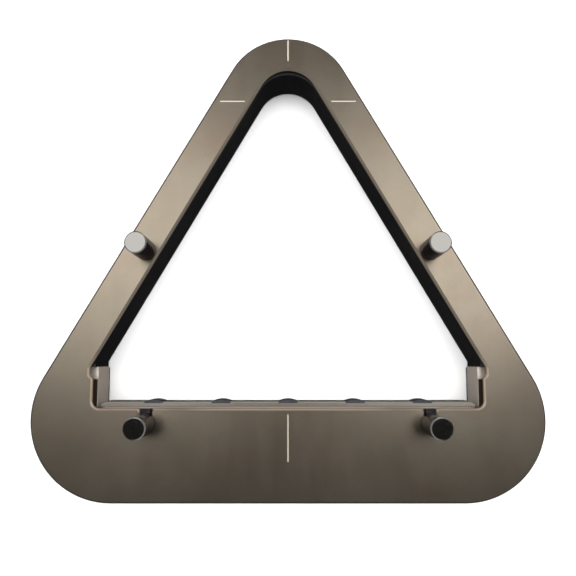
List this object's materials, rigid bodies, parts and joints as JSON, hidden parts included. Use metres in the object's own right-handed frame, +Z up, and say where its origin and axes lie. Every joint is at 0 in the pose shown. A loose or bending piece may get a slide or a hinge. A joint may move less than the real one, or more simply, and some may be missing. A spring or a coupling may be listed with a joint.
{
  "type": "triangle rack",
  "caption": "Billiard triangle rack: broad bevelled metal top plate over a black ball rail, with grip knobs and a sliding rear pusher that squeezes the balls tight.",
  "frame": {"origin": "on the table surface, under the middle of the rack's width and depth", "axes": "+Y towards the apex where the head ball sits, +X to the right, +Z up from the table"},
  "size_m": [0.432, 0.4049, 0.0655],
  "materials": {
    "plate_bronze": "fine bead-blasted, dark bronze anodised, bright bevels",
    "rail_black": "polished black acetal",
    "housing_metal": "machined, light bronze anodised",
    "base_sheet": "rolled sheet, dark anodised",
    "pusher_metal": "fine bead-blasted, grey bronze anodised",
    "liner_plastic": "bronze-filled low-friction plastic",
    "stop_rubber": "matt",
    "bumper_rubber": "satin",
    "pad_felt": "pressed felt",
    "screw_steel": "black oxide",
    "knob_black": "polished",
    "cap_metal": "satin, bright bevel"
  },
  "bodies": {
    "frame": {"top_plate": "plate_bronze", "front_rail": "rail_black", "rear_housing": "housing_metal", "base_plate": "base_sheet", "left_slide_liner": "liner_plastic", "right_slide_liner": "liner_plastic", "left_front_stop": "stop_rubber", "right_front_stop": "stop_rubber", "left_rear_stop": "stop_rubber", "right_rear_stop": "stop_rubber", "rail_screws": "screw_steel", "housing_screws": "screw_steel", "base_plate_screws": "screw_steel", "front_left_glide_pad": "pad_felt", "middle_left_glide_pad": "pad_felt", "rear_left_glide_pad": "pad_felt", "front_right_glide_pad": "pad_felt", "middle_right_glide_pad": "pad_felt", "rear_right_glide_pad": "pad_felt", "left_frame_knob": "knob_black", "left_frame_knob_cap": "cap_metal", "left_frame_knob_bolt": "screw_steel", "right_frame_knob": "knob_black", "right_frame_knob_cap": "cap_metal", "right_frame_knob_bolt": "screw_steel"},
    "pusher": {"pusher_plate": "pusher_metal", "pusher_bar": "pusher_metal", "ball_bumper_1": "bumper_rubber", "ball_bumper_2": "bumper_rubber", "ball_bumper_3": "bumper_rubber", "ball_bumper_4": "bumper_rubber", "ball_bumper_5": "bumper_rubber", "pusher_bar_screws": "screw_steel", "left_pusher_knob": "knob_black", "left_pusher_knob_cap": "cap_metal", "left_pusher_knob_bolt": "screw_steel", "left_pusher_knob_key": "knob_black", "right_pusher_knob": "knob_black", "right_pusher_knob_cap": "cap_metal", "right_pusher_knob_bolt": "screw_steel", "right_pusher_knob_key": "knob_black"}
  },
  "joints": [
    {"name": "pusher_slide", "type": "slide", "parent": "frame", "child": "pusher", "axis": [0, 1, 0], "range_m": [0, 0.037]}
  ]
}
